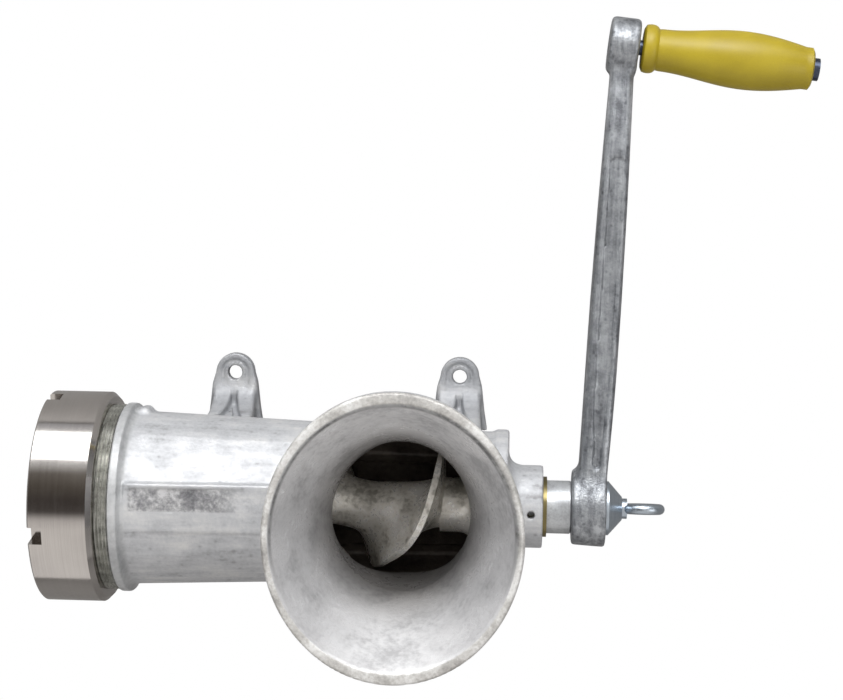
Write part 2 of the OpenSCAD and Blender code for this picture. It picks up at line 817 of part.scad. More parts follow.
module grip() color(grip_yellow) {
    bead_half = bead_share * grip_len / 2;
    waist_s = grip_waist_share * grip_len;
    profile = concat(
        [[grip_bore_r, 0]],
        [for (i = [0 : bead_steps])
            let (a = 180 * i / bead_steps)
            [grip_waist_r + (grip_bead_r - grip_waist_r) * sin(a), bead_half * (1 - cos(a))]],
        [for (i = [0 : 2 * grip_steps])
            let (share = grip_waist_share + (1 - grip_waist_share) * i / (2 * grip_steps))
            [grip_at(share), share * grip_len]],
        [[grip_bore_r, grip_len]]
    );
    at_head() translate([grip_start, 0, 0]) rotate([0, 90, 0])
        rotate_extrude($fn = arc_fn) polygon(profile);
}

housing();
neck_bush();
plate_key();
hole_plate();
ring_nut();
scroll();
scroll_stud();
knife();
thrust_washer();
crank();
cone_washer();
eye_screw();
grip_bolt();
grip();
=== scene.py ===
"""Manual meat grinder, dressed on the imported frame.

Shapes are worked out in millimetres, with heights measured from the scroll's axis unless a name says otherwise,
and turned into metres when a mesh is made. X runs along the scroll's axis towards the crank, Y towards the crank
arm at rest and Z up.
"""

import math

import bpy
import numpy as np
from mathutils import Matrix


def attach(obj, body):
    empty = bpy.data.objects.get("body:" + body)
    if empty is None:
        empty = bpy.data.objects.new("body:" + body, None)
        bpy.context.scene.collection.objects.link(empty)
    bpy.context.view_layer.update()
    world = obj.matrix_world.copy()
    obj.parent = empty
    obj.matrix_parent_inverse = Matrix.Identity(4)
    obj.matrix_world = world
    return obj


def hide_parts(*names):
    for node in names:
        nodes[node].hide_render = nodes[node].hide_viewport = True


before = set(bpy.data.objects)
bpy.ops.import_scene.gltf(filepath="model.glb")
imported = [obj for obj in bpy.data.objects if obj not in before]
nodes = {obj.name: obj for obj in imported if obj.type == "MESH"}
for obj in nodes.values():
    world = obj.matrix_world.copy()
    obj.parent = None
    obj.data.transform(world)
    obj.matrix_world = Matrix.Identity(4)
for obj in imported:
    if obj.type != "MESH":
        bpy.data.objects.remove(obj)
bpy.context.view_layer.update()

MM = 0.001
AXIS_H = 125.0

# Stations along the axis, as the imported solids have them
MOUTH_X = -148.5
PLATE_REAR_X = -141.0
SCROLL_FRONT_X = -130.4
FLANGE_X = -116.2
FLANGE_END_X = -110.0
REAR_X = 103.5
REAR_WALL_X = 96.0
NECK_END_X = 124.7
SHAFT_END_X = 140.7
HUB_END_X = 160.3
HOPPER_X = 46.0
RIM_H = 114.0
THROAT_H = 44.0

# Radii
THREAD_R = 53.5
FLANGE_R = 54.4
BARREL_R = 50.0
BARREL_REAR_R = 41.6
REAR_LIP_R = 43.0
NECK_R = 23.6
BUSH_R = 17.25
SHAFT_R = 15.15
CAVITY_R = 43.6
CAVITY_REAR_R = 37.2
RIM_R = 64.2
THROAT_R = 38.5
THROAT_ROOT_R = 34.3
HOPPER_OVAL = 1.086
HOPPER_CURVE = 1.12
HOPPER_STEEP = 0.93
LIP_R = 67.8
LIP_OVAL = 1.125
WALL = 4.4
PLATE_SEAT_R = 49.55
PLATE_REST_R = 44.2

# Legs, from the foot at +X and +Y
FOOT_X = 72.0
BOLT_Y = 62.0
BOLT_HOLE_R = 4.5
LEG_OUT_Y = 36.6
LEG_T = 11.0
LEG_TOP_H = 112.0
LEG_HALF = 13.2
LEG_SPREAD = 0.04
LEG_FLARE = 18.9
LEG_FLARE_H = 9.0
PAD_T = 8.0
PAD_IN_Y = 28.0
PAD_TIP_R = 12.3
PAD_GROWTH = 5.7

# Panel on the barrel with its sunk band, and the oil hole in the neck
BAND_Y = 6.6
BAND_START_X = -105.5
OIL_X = 117.7
OIL_TURN = math.radians(-3.0)

# Scroll
COLLAR_X = 87.5
CORE_R = 15.6
FLIGHT_START_DEG = -49.0
FLIGHT_END_DEG = 190.0

# Crank
CRANK_R = 262.0
HEAD_X = 164.2
HEAD_R = 15.65
HUB_R = 22.2
GRIP_TILT = math.radians(6.4)

# Camera and picture
FOCAL_PX = 1800.0
FRAME_PX = 843.0
SENSOR_MM = 36.0


def soft_min(a, b, k):
    """Smaller of two distances, with the corner between them filled over a width k."""
    h = np.clip(0.5 + 0.5 * (b - a) / k, 0.0, 1.0)
    return b + (a - b) * h - k * h * (1.0 - h)


def soft_max(a, b, k):
    """Larger of two distances, with the corner between them rounded over a width k."""
    return -soft_min(-a, -b, k)


def ramp(t, low, high):
    """0 below low and 1 above high, with a smooth climb between."""
    s = np.clip((t - low) / (high - low), 0.0, 1.0)
    return s * s * (3.0 - 2.0 * s)


def barrel_at(x):
    """Outer radius of the tapered barrel."""
    return BARREL_R + (BARREL_REAR_R - BARREL_R) * (x - FLANGE_END_X) / (REAR_X - FLANGE_END_X)


def cavity_at(x):
    """Inner radius of the tapered cavity."""
    return CAVITY_R + (CAVITY_REAR_R - CAVITY_R) * (x - SCROLL_FRONT_X) / (REAR_WALL_X - SCROLL_FRONT_X)


def facet(angle, start, end):
    """How far a flat between two angles lies inside a unit circle, at an angle."""
    mid = (start + end) / 2
    half = (end - start) / 2
    off = np.abs(angle - mid)
    chord = 1.0 - math.cos(half) / np.cos(np.minimum(off, half))
    return np.where(off < half, chord, 0.0)


def box_distance(x, y, z, centre, half, corner):
    """Distance from a box with rounded corners."""
    qx = np.abs(x - centre[0]) - half[0] + corner
    qy = np.abs(y - centre[1]) - half[1] + corner
    qz = np.abs(z - centre[2]) - half[2] + corner
    outside = np.sqrt(np.maximum(qx, 0) ** 2 + np.maximum(qy, 0) ** 2 + np.maximum(qz, 0) ** 2)
    return outside + np.minimum(np.maximum(qx, np.maximum(qy, qz)), 0) - corner


def slab(x, low, high):
    """Distance from the space between two planes across x."""
    return np.maximum(low - x, x - high)


def hopper_radius(z):
    """Inner radius of the hopper along the barrel, at a height above the axis."""
    share = np.clip((z - THROAT_H) / (RIM_H - THROAT_H), 0.0, 1.1)
    above = THROAT_R + (RIM_R - THROAT_R) * share ** HOPPER_CURVE
    below = THROAT_ROOT_R + (THROAT_R - THROAT_ROOT_R) * np.clip(z / THROAT_H, -0.2, 1.0)
    return np.where(z > THROAT_H, above, below)


def leg_distance(x, y, z):
    """Distance from one leg and its pad, for the foot at +X and +Y.

    The leg's outer face is upright and flares out to the pad like exp(-height).
    """
    h = z + AXIS_H
    dx = x - FOOT_X
    flare = LEG_FLARE * np.exp(-np.maximum(h - PAD_T, 0.0) / LEG_FLARE_H)
    stretch = np.sqrt(1.0 + (flare / LEG_FLARE_H) ** 2)
    lean = (y - LEG_OUT_Y - flare) / stretch
    inner = (LEG_OUT_Y - LEG_T + flare - y) / stretch
    plate = soft_max(np.maximum(lean, inner), np.abs(dx) - LEG_HALF - LEG_SPREAD * h, 3.0)
    plate = soft_max(plate, slab(h, 0.0, LEG_TOP_H), 2.0)

    pocket_low, pocket_deep = 11.0, 4.5
    pocket_half = np.clip(1.6 + 0.27 * (h - pocket_low), 0.0, 9.0)
    pocket = np.maximum(np.abs(dx) - pocket_half, pocket_low - h)
    pocket = soft_max(pocket, -(lean + pocket_deep), 1.5)
    plate = soft_max(plate, -pocket, 1.6)
    fin_low, fin_out, fin_in = 19.0, -0.6, -7.8
    fin_half = np.clip(0.17 * (h - 17.0), 0.0, 7.0)
    fin = np.maximum(np.abs(dx) - fin_half, np.maximum(slab(lean, fin_in, fin_out), slab(h, fin_low, 108.0)))
    plate = soft_min(plate, fin, 1.2)

    reach = np.clip(y, PAD_IN_Y, BOLT_Y)
    width = PAD_TIP_R + PAD_GROWTH * (BOLT_Y - reach) / (BOLT_Y - PAD_IN_Y)
    round_end = np.sqrt(dx ** 2 + np.maximum(y - BOLT_Y, 0.0) ** 2) - width
    pad = soft_max(round_end, slab(h, 0.0, PAD_T), 1.6)
    pad = soft_max(pad, PAD_IN_Y - y, 1.0)
    dish = soft_max(round_end + 3.4, PAD_T - 0.8 - h, 1.2)
    pad = soft_max(pad, -dish, 0.8)
    both = soft_min(plate, pad, 4.0)
    from_bolt = np.sqrt(dx ** 2 + (y - BOLT_Y) ** 2)
    both = soft_min(both, np.maximum(from_bolt - 6.6, slab(h, 0.5, PAD_T - 0.3)), 0.8)
    return soft_max(both, BOLT_HOLE_R - from_bolt, 0.8)


def casting(p):
    """Distance from the one casting that holds barrel, hopper, neck and legs."""
    x, y, z = p[..., 0], p[..., 1], p[..., 2]
    r = np.sqrt(y * y + z * z)
    angle = np.arctan2(y, z)

    flats = sum(facet(angle, math.radians(a), math.radians(b)) for a, b in ((18.5, 54.0), (-31.0, -13.0)))
    flat_part = 0.55 * ramp(x, FLANGE_END_X, FLANGE_END_X + 10.0)
    outer = barrel_at(x) * (1.0 - flat_part * flats)
    body = soft_max(r - outer, slab(x, FLANGE_X, REAR_X), 1.5)
    flange = soft_max(r - FLANGE_R, slab(x, FLANGE_X, FLANGE_END_X - 0.8), 1.0)
    body = soft_min(body, flange, 5.0)
    lug = box_distance(x, y, z, (-105.0, 46.0, 0.0), (3.7, 7.0, 8.0), 3.4)
    body = soft_min(body, lug, 3.0)

    top = barrel_at(x) + 0.6
    sunk = 0.8 * ramp(6.9 - np.abs(y - BAND_Y), -0.5, 0.9)
    sunk = sunk * ramp(x, BAND_START_X, BAND_START_X + 2.0) * ramp(-x, 34.0, 56.0)
    slope = 0.13 * np.maximum(1.5 - y, 0.0)
    panel = soft_max(z - top + sunk + slope, np.abs(y - 2.3) - 13.6, 1.6)
    panel = soft_max(panel, slab(x, -107.5, HOPPER_X), 1.5)
    panel = np.maximum(panel, 25.0 - z)
    body = soft_min(body, panel, 1.6)

    collar = soft_max(r - REAR_LIP_R, slab(x, REAR_X - 5.5, REAR_X), 1.6)
    body = soft_min(body, collar, 5.0)
    neck = soft_max(r - NECK_R, slab(x, 60.0, NECK_END_X), 1.4)
    body = soft_min(body, neck, 9.0)

    across = np.sqrt((x - HOPPER_X) ** 2 + (y / HOPPER_OVAL) ** 2)
    inner = hopper_radius(z)
    funnel = soft_max((across - inner - WALL) * HOPPER_STEEP, z - RIM_H + 3.0, 1.5)
    funnel = np.maximum(funnel, -z)
    body = soft_min(body, funnel, 12.0)
    lip_across = np.sqrt((x - HOPPER_X) ** 2 + (y / LIP_OVAL) ** 2)
    lip = soft_max(lip_across - LIP_R, slab(z, RIM_H - 9.0, RIM_H), 2.4)
    body = soft_min(body, lip, 3.0)

    legs = leg_distance(np.abs(x), np.abs(y), z)
    body = soft_min(body, legs, 9.0)
    body = soft_max(body, slab(x, FLANGE_X, NECK_END_X), 1.0)
    body = soft_max(body, slab(z, -AXIS_H, RIM_H), 1.0)

    ribs = np.zeros_like(r)
    for turn in (55.0, 145.0, -35.0, -125.0):
        away = np.abs((angle - math.radians(turn) + math.pi) % (2 * math.pi) - math.pi) * r
        ribs = np.maximum(ribs, ramp(-away, -4.6, -2.6))
    cavity = soft_max(r - cavity_at(x) + 1.6 * ribs, x - REAR_WALL_X, 2.0)
    body = soft_max(body, -cavity, 1.2)
    feed = np.maximum((across - inner) * HOPPER_STEEP, -z)
    body = soft_max(body, -feed, 2.2)
    bore = np.maximum(r - BUSH_R, 80.0 - x)
    body = soft_max(body, -bore, 0.8)
    side = y * math.cos(OIL_TURN) - z * math.sin(OIL_TURN)
    along = y * math.sin(OIL_TURN) + z * math.cos(OIL_TURN)
    oil = np.maximum(np.sqrt((x - OIL_X) ** 2 + side ** 2) - 2.1, -along)
    return soft_max(body, -oil, 0.9)


def surface_net(field, low, high, step, settle=4):
    """Closed surface where a distance field is zero.

    Each grid cell that the surface crosses gets one point, at the mean of the crossings on its edges, and
    each crossed edge joins the points of its four cells. The points then move along the field's slope onto
    the surface. Returns the points, the quads and the outward normals.
    """
    axes = [np.arange(a - 1.5 * step, b + 2.5 * step, step) for a, b in zip(low, high)]
    sizes = [len(a) for a in axes]
    values = np.empty(sizes, dtype=np.float32)
    gx, gy = np.meshgrid(axes[1], axes[2], indexing="ij")
    for i, x in enumerate(axes[0]):
        layer = np.stack([np.full_like(gx, x), gx, gy], axis=-1)
        values[i] = field(layer)
    inside = values < 0
    cells = np.array(sizes) - 1
    count = np.zeros(cells.prod(), dtype=np.int32)
    total = np.zeros((3, cells.prod()))
    edges = []
    for axis in range(3):
        a = [slice(None)] * 3
        b = [slice(None)] * 3
        a[axis] = slice(0, -1)
        b[axis] = slice(1, None)
        crossed = inside[tuple(a)] != inside[tuple(b)]
        index = np.argwhere(crossed)
        other = index.copy()
        other[:, axis] += 1
        va = values[tuple(index.T)].astype(float)
        vb = values[tuple(other.T)].astype(float)
        share = va / (va - vb)
        point = np.stack([axes[k][index[:, k]] for k in range(3)], axis=1)
        point[:, axis] += share * step
        u, v = [k for k in range(3) if k != axis]
        ring = []
        for du, dv in ((0, 0), (-1, 0), (-1, -1), (0, -1)):
            cell = index.copy()
            cell[:, u] += du
            cell[:, v] += dv
            ring.append((cell[:, 0] * cells[1] + cell[:, 1]) * cells[2] + cell[:, 2])
        ring = np.stack(ring, axis=1)
        for k in range(4):
            count += np.bincount(ring[:, k], minlength=len(count)).astype(np.int32)
            for d in range(3):
                total[d] += np.bincount(ring[:, k], weights=point[:, d], minlength=len(count))
        flip = (va < 0) != (axis == 1)
        edges.append(np.where(flip[:, None], ring, ring[:, ::-1]))
    used = count > 0
    number = np.cumsum(used) - 1
    points = (total[:, used] / count[used]).T
    quads = number[np.concatenate(edges)]
    for _ in range(settle):
        value, slope = field_slope(field, points)
        move = value[:, None] * slope / np.maximum((slope ** 2).sum(axis=1), 0.2)[:, None]
        length = np.linalg.norm(move, axis=1, keepdims=True)
        points = points - move * np.minimum(1.0, 0.5 * step / np.maximum(length, 1e-9))
    _, slope = field_slope(field, points)
    normals = slope / np.maximum(np.linalg.norm(slope, axis=1, keepdims=True), 1e-9)
    return points, quads, normals


def field_slope(field, points, reach=0.15):
    """Value and slope of a distance field at each point."""
    value = field(points)
    slope = np.empty_like(points)
    for k in range(3):
        shift = np.zeros(3)
        shift[k] = reach
        slope[:, k] = (field(points + shift) - field(points - shift)) / (2 * reach)
    return value, slope


def thin_out(points, quads, share):
    """Points and triangles of a mesh brought down to a share of its faces, with its flat places thinned most."""
    mesh = bpy.data.meshes.new("dense")
    mesh.from_pydata(points.tolist(), [], quads.tolist())
    dense = bpy.data.objects.new("dense", mesh)
    bpy.context.scene.collection.objects.link(dense)
    cut = dense.modifiers.new("thin", "DECIMATE")
    cut.ratio = share
    cut.use_collapse_triangulate = True
    depsgraph = bpy.context.evaluated_depsgraph_get()
    thin = bpy.data.meshes.new_from_object(dense.evaluated_get(depsgraph))
    kept = np.empty(len(thin.vertices) * 3)
    thin.vertices.foreach_get("co", kept)
    corners = np.empty(len(thin.loops), dtype=np.int32)
    thin.loops.foreach_get("vertex_index", corners)
    bpy.data.objects.remove(dense)
    bpy.data.meshes.remove(mesh)
    bpy.data.meshes.remove(thin)
    return kept.reshape(-1, 3), corners.reshape(-1, 3)


def make_piece(name, points, faces, body, material, normals=None, sharp_deg=None):
    """Mesh object from points in millimetres above the axis, riding on a body."""
    mesh = bpy.data.meshes.new(name)
    placed = (np.asarray(points, dtype=float) + [0.0, 0.0, AXIS_H]) * MM
    faces = faces.tolist() if isinstance(faces, np.ndarray) else faces
    mesh.from_pydata(placed.tolist(), [], faces)
    mesh.polygons.foreach_set("use_smooth", np.ones(len(mesh.polygons), dtype=bool))
    if sharp_deg is not None:
        mesh.set_sharp_from_angle(angle=math.radians(sharp_deg))
    if normals is not None:
        mesh.normals_split_custom_set_from_vertices(np.asarray(normals).tolist())
    mesh.update()
    mesh.materials.append(material)
    piece = bpy.data.objects.new(name, mesh)
    bpy.context.scene.collection.objects.link(piece)
    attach(piece, body)
    return piece


def lathe(rows, around=128):
    """Points and quads of a closed outline of (station, radius) turned round X. A radius may be an array."""
    turn = np.linspace(0, 2 * np.pi, around, endpoint=False)
    grid = []
    for station, radius in rows:
        r = np.broadcast_to(radius, turn.shape)
        x = np.broadcast_to(station, turn.shape)
        grid.append(np.stack([x, r * np.sin(turn), r * np.cos(turn)], axis=1))
    count = len(rows)
    k = np.arange(count)[:, None]
    i = np.arange(around)[None, :]
    beside = (i + 1) % around
    beyond = ((k + 1) % count) * around
    quads = np.stack([k * around + i, k * around + beside, beyond + beside, beyond + i], axis=-1)
    return np.concatenate(grid), quads.reshape(-1, 4).tolist()


def at_head(points):
    """Moves points from the grip's own frame, with X along its spindle, to the crank's head."""
    c, s = math.cos(GRIP_TILT), math.sin(GRIP_TILT)
    x, y, z = points.T
    return np.stack([HEAD_X + x * c + y * s, CRANK_R - x * s + y * c, z], axis=1)


def crank_arm(p):
    """Distance from the crank: hub, tapered arm with a shallow groove, and round head."""
    x, y, z = p[..., 0], p[..., 1], p[..., 2]
    r = np.sqrt(y * y + z * z)
    hub_r = HUB_R - 1.2 * (HUB_END_X - x) / (HUB_END_X - SHAFT_END_X)
    hub = soft_max(r - hub_r, slab(x, SHAFT_END_X, HUB_END_X), 2.4)
    mid = 152.3 + 11.9 * y / CRANK_R
    thick = np.interp(y, [0, 62, 118, 175, 215, 250], [17.0, 17.1, 17.1, 15.9, 14.3, 12.8]) / 2
    wide = (31.0 - 10.0 * np.clip(y, 0, 252) / 252.0) / 2
    corner = 5.0
    qx = np.abs(x - mid) - thick + corner
    qz = np.abs(z) - wide + corner
    bar = np.sqrt(np.maximum(qx, 0) ** 2 + np.maximum(qz, 0) ** 2) + np.minimum(np.maximum(qx, qz), 0) - corner
    bar = np.maximum(bar, slab(y, 5.0, 255.0))
    along = np.clip(y, 28.0, 196.0)
    off = np.sqrt(((x - mid - 0.6) / (0.6 + 0.6 * ramp(y, 26.0, 70.0))) ** 2 + (y - along) ** 2)
    depth = np.maximum(off - 2.6, 0.5 - (np.abs(z) - wide + 1.6))
    bar = soft_max(bar, -depth, 3.4)
    c, s = math.cos(GRIP_TILT), math.sin(GRIP_TILT)
    u = (x - HEAD_X) * c - (y - CRANK_R) * s
    v = (x - HEAD_X) * s + (y - CRANK_R) * c
    from_pin = np.sqrt(v * v + z * z)
    head = soft_max(from_pin - HEAD_R, np.abs(u) - 8.35, 3.0)
    body = soft_min(soft_min(hub, bar, 7.0), head, 3.0)
    body = soft_max(body, slab(x, SHAFT_END_X, 400.0), 0.8)
    body = soft_max(body, r - HUB_R - 300.0 * ramp(y, 2.0, 9.0), 0.5)
    body = soft_max(body, x - HUB_END_X - 0.08 * np.maximum(y - 20.0, 0.0), 0.8)
    socket = soft_max(np.maximum(np.abs(y), np.abs(z)) - 10.1, x - 400.0, 0.5)
    body = soft_max(body, -socket, 0.8)
    return soft_max(body, 4.25 - from_pin, 0.6)


def flight_surface(rows=620, land_steps=3, flank_steps=24):
    """Scroll's flight as rings of points that turn with it.

    Its pitch grows from 48 to 60 along the barrel. At the feed it swells to 215 and falls away again like
    exp(-turn), so the flight ends square to the shaft. The crest has a flat land of an even width, and beyond it
    the height over the core falls away like exp(-distance). The core is thinner on the side that faces away from
    the crest.
    """
    front, rear, swell, bend_x, rise, fall = 48.0, 60.0, 215.0, HOPPER_X - 5.5, 12.0, 48.0
    swell_len = (swell - rear) * rise / 360.0
    main = 720.0 * (bend_x - swell_len - SCROLL_FRONT_X) / (front + rear)
    whole = main + FLIGHT_END_DEG
    turned = whole * np.linspace(0, 1, rows)[:, None]
    early = np.minimum(turned, main)
    late = np.maximum(turned - main, 0.0)
    x = SCROLL_FRONT_X + early / 360.0 * (front + (rear - front) * early / main / 2)
    x = x + swell_len * np.exp((early - main) / rise) + swell * fall / 360.0 * (1 - np.exp(-late / fall))
    pitch = front + (rear - front) * early / main + (swell - rear) * np.exp((early - main) / rise)
    pitch = np.where(late > 0, swell * np.exp(-late / fall), pitch)
    around = 2 * np.pi * 30.0
    land = np.clip(1.6 * np.sqrt(pitch ** 2 + around ** 2) / (pitch * around), 0.012, 0.08)
    flank = np.linspace(0, 1, flank_steps + 1)[None, 1:]
    on_land = land * np.linspace(0, 1, land_steps + 1)[None, :]
    on_flank = land + (0.5 - land) * (0.14 * flank + 0.86 * flank ** 2.2)
    offset = np.concatenate([on_land, on_flank], axis=1)
    side = np.concatenate([np.ones(offset.shape[1]), -np.ones(offset.shape[1] - 2)])
    offset = np.concatenate([offset, offset[:, -2:0:-1]], axis=1)
    fade = np.minimum(1.0, (whole - turned) / 60.0)
    share = (x - SCROLL_FRONT_X) / (COLLAR_X - SCROLL_FRONT_X)
    thin = 4.0 * np.minimum(1.0, (whole - turned) / 120.0) * (0.5 - 0.5 * np.cos(2 * np.pi * offset))
    core = CORE_R + 8.4 * (1 - share) ** 2 - thin
    crest = 41.5 - 6.4 * share
    r = core + (crest - core) * fade * np.exp(-np.maximum(offset - land, 0.0) / 0.05)
    turn = np.radians(turned - main + FLIGHT_START_DEG + 360.0 * side * offset)
    points = np.stack([np.broadcast_to(x, turn.shape), r * np.sin(turn), r * np.cos(turn)], axis=-1).reshape(-1, 3)
    n = offset.shape[1]
    k = np.arange(rows - 1)[:, None] * n
    i = np.arange(n)[None, :]
    j = (i + 1) % n
    a, b, c, d = k + i, k + j, k + n + j, k + n + i
    first = np.stack([a, b, d], axis=-1).reshape(-1, 3)
    second = np.stack([b, c, d], axis=-1).reshape(-1, 3)
    faces = first.tolist() + second.tolist()
    faces.append(list(range(n))[::-1])
    faces.append([(rows - 1) * n + m for m in range(n)])
    return points, faces


def link(tree, a, b):
    """Joins an output socket to an input socket."""
    tree.links.new(a, b)


def add(tree, kind, **inputs):
    """New node of a kind, with its inputs set by name and its own settings by attribute."""
    made = tree.nodes.new(kind)
    for name, value in inputs.items():
        if name in made.bl_rna.properties:
            setattr(made, name, value)
        else:
            made.inputs[name.replace("_", " ")].default_value = value
    return made


def math_node(tree, operation, a, b=None):
    """Output of one arithmetic step. a and b are sockets or numbers."""
    made = tree.nodes.new("ShaderNodeMath")
    made.operation = operation
    for socket, value in zip(made.inputs, (a, b)):
        if value is None:
            continue
        if isinstance(value, (int, float)):
            socket.default_value = value
        else:
            link(tree, value, socket)
    return made.outputs[0]


def span(tree, fac, low, high, to_low, to_high):
    """fac carried from one range to another and held there."""
    made = add(tree, "ShaderNodeMapRange")
    for label, value in (("From Min", low), ("From Max", high), ("To Min", to_low), ("To Max", to_high)):
        made.inputs[label].default_value = value
    link(tree, fac, made.inputs["Value"])
    return made.outputs["Result"]


def group_node(tree, group, **inputs):
    """Outputs of a shared group, with its inputs set by name."""
    made = tree.nodes.new("ShaderNodeGroup")
    made.node_tree = group
    for name, value in inputs.items():
        made.inputs[name.replace("_", " ")].default_value = value
    return made.outputs


def bumped(tree, shader, height, strength, reach):
    """Lets a height move the shader's normal."""
    raised = add(tree, "ShaderNodeBump", Strength=strength, Distance=reach)
    link(tree, height, raised.inputs["Height"])
    link(tree, raised.outputs["Normal"], shader.inputs["Normal"])


def new_group(name, inputs, outputs):
    """Empty shader group with float inputs (name, default) and float outputs."""
    group = bpy.data.node_groups.new(name, "ShaderNodeTree")
    for label, default in inputs:
        socket = group.interface.new_socket(label, in_out="INPUT", socket_type="NodeSocketFloat")
        socket.default_value = default
    for label in outputs:
        group.interface.new_socket(label, in_out="OUTPUT", socket_type="NodeSocketFloat")
    entry = group.nodes.new("NodeGroupInput")
    leave = group.nodes.new("NodeGroupOutput")
    return group, entry, leave


def cast_skin_group():
    """Skin of a plated casting: fine grain, soft hollows between them and wide clouds of tone."""
    group, entry, leave = new_group("cast_skin", [("Fine", 900.0), ("Wide", 60.0)], ["Height", "Tone", "Pits"])
    place = add(group, "ShaderNodeTexCoord").outputs["Object"]
    fine = add(group, "ShaderNodeTexNoise", Detail=5.0, Roughness=0.62)
    wide = add(group, "ShaderNodeTexNoise", Detail=3.0, Roughness=0.55)
    pits = add(group, "ShaderNodeTexVoronoi", Randomness=1.0)
    for texture, scale in ((fine, entry.outputs["Fine"]), (wide, entry.outputs["Wide"])):
        link(group, place, texture.inputs["Vector"])
        link(group, scale, texture.inputs["Scale"])
    link(group, place, pits.inputs["Vector"])
    link(group, math_node(group, "MULTIPLY", entry.outputs["Fine"], 0.35), pits.inputs["Scale"])
    hole = math_node(group, "SUBTRACT", 0.32, pits.outputs["Distance"])
    hole = math_node(group, "MAXIMUM", hole, 0.0)
    height = math_node(group, "MULTIPLY", wide.outputs["Fac"], 0.9)
    height = math_node(group, "ADD", height, fine.outputs["Fac"])
    height = math_node(group, "SUBTRACT", height, math_node(group, "MULTIPLY", hole, 0.6))
    tone = math_node(group, "MULTIPLY", wide.outputs["Fac"], 0.65)
    tone = math_node(group, "ADD", tone, math_node(group, "MULTIPLY", fine.outputs["Fac"], 0.35))
    link(group, height, leave.inputs["Height"])
    link(group, tone, leave.inputs["Tone"])
    link(group, math_node(group, "MULTIPLY", hole, 3.0), leave.inputs["Pits"])
    return group


def turned_lines_group():
    """Fine lines left by a lathe: noise that runs fast along the axis and the radius and slowly round the turn."""
    group, entry, leave = new_group("turned_lines", [("Lines", 2200.0)], ["Height", "Tone"])
    place = add(group, "ShaderNodeTexCoord").outputs["Object"]
    parts = add(group, "ShaderNodeSeparateXYZ")
    link(group, place, parts.inputs[0])
    up = math_node(group, "SUBTRACT", parts.outputs["Z"], AXIS_H * MM)
    across = parts.outputs["Y"]
    squares = math_node(group, "ADD", math_node(group, "MULTIPLY", up, up), math_node(group, "MULTIPLY", across, across))
    radius = math_node(group, "SQRT", squares)
    turn = math_node(group, "ARCTAN2", across, up)
    joined = add(group, "ShaderNodeCombineXYZ")
    link(group, math_node(group, "MULTIPLY", parts.outputs["X"], entry.outputs["Lines"]), joined.inputs[0])
    link(group, math_node(group, "MULTIPLY", radius, entry.outputs["Lines"]), joined.inputs[1])
    link(group, math_node(group, "MULTIPLY", turn, 1.3), joined.inputs[2])
    lines = add(group, "ShaderNodeTexNoise", Scale=1.0, Detail=3.0, Roughness=0.6)
    link(group, joined.outputs[0], lines.inputs["Vector"])
    cloud = add(group, "ShaderNodeTexNoise", Scale=38.0, Detail=2.0)
    link(group, place, cloud.inputs["Vector"])
    link(group, lines.outputs["Fac"], leave.inputs["Height"])
    tone = math_node(group, "MULTIPLY", lines.outputs["Fac"], 0.5)
    tone = math_node(group, "ADD", tone, math_node(group, "MULTIPLY", cloud.outputs["Fac"], 0.5))
    link(group, tone, leave.inputs["Tone"])
    return group


def drawn_streaks_group():
    """Noise drawn out along the axes whose share is small."""
    inputs = [("Scale", 150.0), ("Along X", 1.0), ("Along Y", 1.0), ("Along Z", 1.0)]
    group, entry, leave = new_group("drawn_streaks", inputs, ["Fac"])
    parts = add(group, "ShaderNodeSeparateXYZ")
    link(group, add(group, "ShaderNodeTexCoord").outputs["Object"], parts.inputs[0])
    drawn = add(group, "ShaderNodeCombineXYZ")
    for k, label in enumerate(("Along X", "Along Y", "Along Z")):
        link(group, math_node(group, "MULTIPLY", parts.outputs[k], entry.outputs[label]), drawn.inputs[k])
    streaks = add(group, "ShaderNodeTexNoise", Detail=4.0, Roughness=0.6)
    link(group, drawn.outputs[0], streaks.inputs["Vector"])
    link(group, entry.outputs["Scale"], streaks.inputs["Scale"])
    link(group, streaks.outputs["Fac"], leave.inputs["Fac"])
    return group


